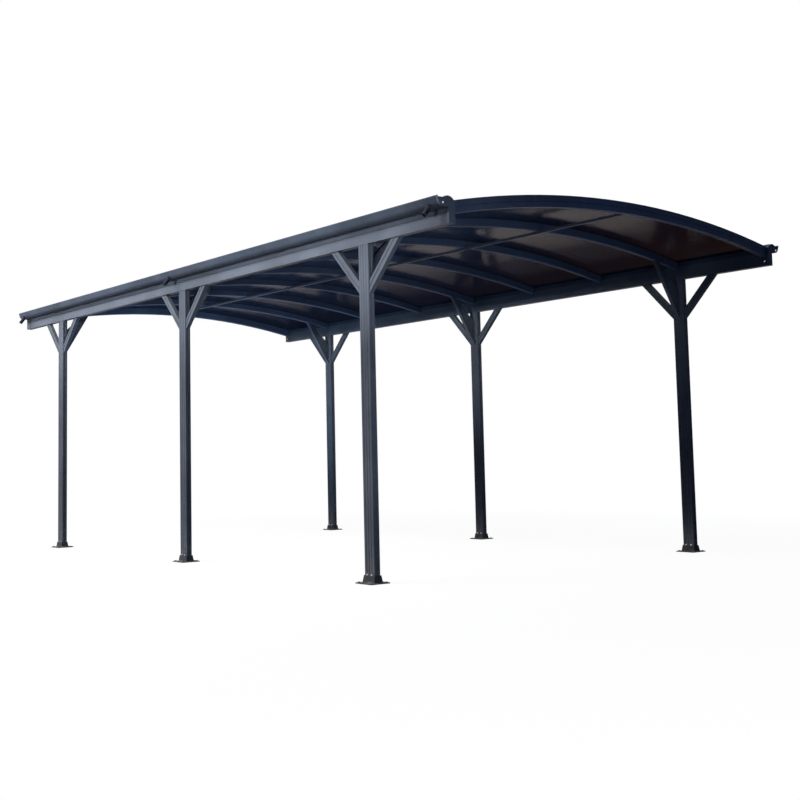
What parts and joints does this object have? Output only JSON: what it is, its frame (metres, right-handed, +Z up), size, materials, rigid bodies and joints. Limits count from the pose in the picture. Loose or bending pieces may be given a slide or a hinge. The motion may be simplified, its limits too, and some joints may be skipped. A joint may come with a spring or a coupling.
{
  "type": "carport",
  "caption": "Open carport on fluted posts with knee braces, eave beams with built-in gutters and a shallow arched roof of tinted sheet.",
  "frame": {"origin": "centre of the bounding box on the ground", "axes": "+X across the bay to the right seen from the front, +Y from the front to the rear, +Z up"},
  "size_m": [3.1822, 6.076, 2.2851],
  "materials": {
    "frame_paint": "anthracite blue-grey powder coat on aluminium",
    "foot_paint": "anthracite powder coat on steel",
    "cap_plastic": "moulded end cap",
    "spout_plastic": "glossy black spout",
    "roof_sheet": "bronze tinted polycarbonate sheet"
  },
  "bodies": {
    "root": {"post_front_left": "frame_paint", "foot_front_left": "foot_paint", "braces_front_left": "frame_paint", "post_front_right": "frame_paint", "foot_front_right": "foot_paint", "braces_front_right": "frame_paint", "post_middle_left": "frame_paint", "foot_middle_left": "foot_paint", "braces_middle_left": "frame_paint", "post_middle_right": "frame_paint", "foot_middle_right": "foot_paint", "braces_middle_right": "frame_paint", "post_rear_left": "frame_paint", "foot_rear_left": "foot_paint", "braces_rear_left": "frame_paint", "post_rear_right": "frame_paint", "foot_rear_right": "foot_paint", "braces_rear_right": "frame_paint", "eave_beam_front_left": "frame_paint", "eave_beam_front_right": "frame_paint", "eave_beam_rear_left": "frame_paint", "eave_beam_rear_right": "frame_paint", "end_caps_left": "cap_plastic", "drain_spouts_left": "spout_plastic", "end_caps_right": "cap_plastic", "drain_spouts_right": "spout_plastic", "front_arch": "frame_paint", "rear_arch": "frame_paint", "crown_tie": "frame_paint", "rib_1": "frame_paint", "rib_2": "frame_paint", "rib_3": "frame_paint", "rib_4": "frame_paint", "rib_5": "frame_paint", "rib_6": "frame_paint", "rib_7": "frame_paint", "roof_panel_1": "roof_sheet", "roof_panel_2": "roof_sheet", "roof_panel_3": "roof_sheet", "roof_panel_4": "roof_sheet", "roof_panel_5": "roof_sheet", "roof_panel_6": "roof_sheet", "roof_panel_7": "roof_sheet", "roof_panel_8": "roof_sheet"}
  },
  "joints": []
}
